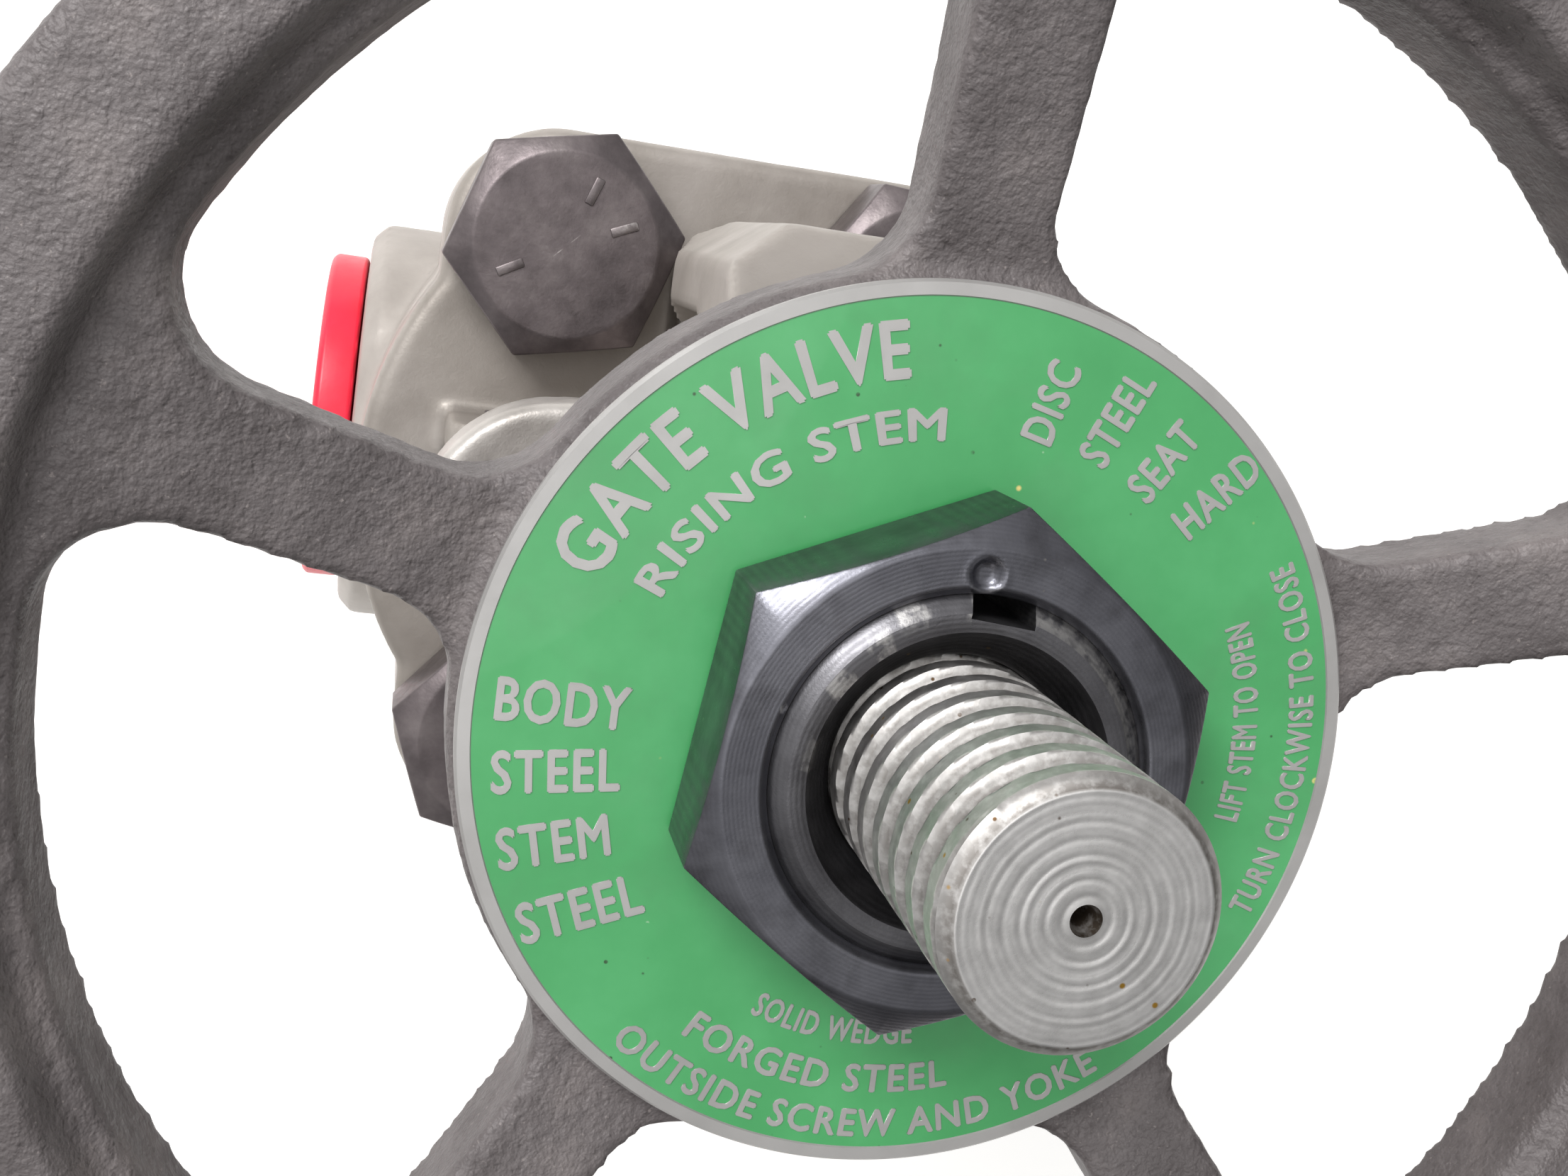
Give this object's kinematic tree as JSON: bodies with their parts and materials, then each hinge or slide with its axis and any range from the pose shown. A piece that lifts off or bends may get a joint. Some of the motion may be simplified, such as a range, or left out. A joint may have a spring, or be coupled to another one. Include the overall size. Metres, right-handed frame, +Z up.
{
  "type": "gate valve",
  "caption": "Rising-stem gate valve with socket ends, a bolted bonnet with a yoke, a spoked handwheel with a round nameplate, and a pipe plug.",
  "frame": {"origin": "centre of the flat base, under the stem axis", "axes": "+Z up the stem, +X along the pipe towards the open socket, +Y towards one yoke arm"},
  "size_m": [0.165, 0.165, 0.2523],
  "materials": {
    "forged_steel": "phosphated forging, satin grey-brown",
    "wheel_iron": "sand-cast and dip-painted, rough",
    "black_oxide_steel": "turned and black-oxided, satin",
    "stem_steel": "turned stainless steel",
    "hard_steel": "ground hard facing",
    "gland_steel": "forged and phosphated",
    "nameplate_metal": "printed enamel field with bare metal letters and rim",
    "graphite": "moulded and braided graphite",
    "spiral_gasket": "wound steel strip and graphite",
    "washer_bronze": "turned bronze",
    "cap_plastic": "moulded bright red polyethylene"
  },
  "bodies": {
    "valve": {"body": "forged_steel", "seat_ring_inlet": "hard_steel", "seat_ring_outlet": "hard_steel", "bonnet_gasket": "spiral_gasket", "bonnet": "forged_steel", "backseat_bushing": "stem_steel", "packing_bottom_ring": "graphite", "packing_rings": "graphite", "packing_top_ring": "graphite", "gland": "stem_steel", "gland_flange": "gland_steel", "gland_eyebolts": "black_oxide_steel", "eyebolt_pins": "black_oxide_steel", "gland_nuts": "black_oxide_steel", "bonnet_bolts": "black_oxide_steel", "wheel_spacer_washer": "washer_bronze"},
    "wheel": {"yoke_sleeve": "black_oxide_steel", "yoke_thrust_washer": "washer_bronze", "handwheel_key": "black_oxide_steel", "handwheel": "wheel_iron", "nameplate": "nameplate_metal", "wheel_nut": "black_oxide_steel"},
    "stem": {"stem": "stem_steel", "gate": "stem_steel"},
    "cap": {"inlet_cap": "cap_plastic"}
  },
  "joints": [
    {"name": "wheel_turn", "type": "hinge", "parent": "valve", "child": "wheel", "pos_m": [0, 0, 0.178], "axis": [0, 0, 1], "range_deg": [-1870, 1020]},
    {"name": "stem_lift", "type": "slide", "parent": "valve", "child": "stem", "axis": [0, 0, 1], "range_m": [-0.022, 0.012]},
    {"name": "cap_pull", "type": "slide", "parent": "valve", "child": "cap", "axis": [-1, 0, 0], "range_m": [0, 0.03]}
  ],
  "couplings": [
    {"joint": "stem_lift", "follows": "wheel_turn", "m_per_rad": 0.0006737}
  ]
}
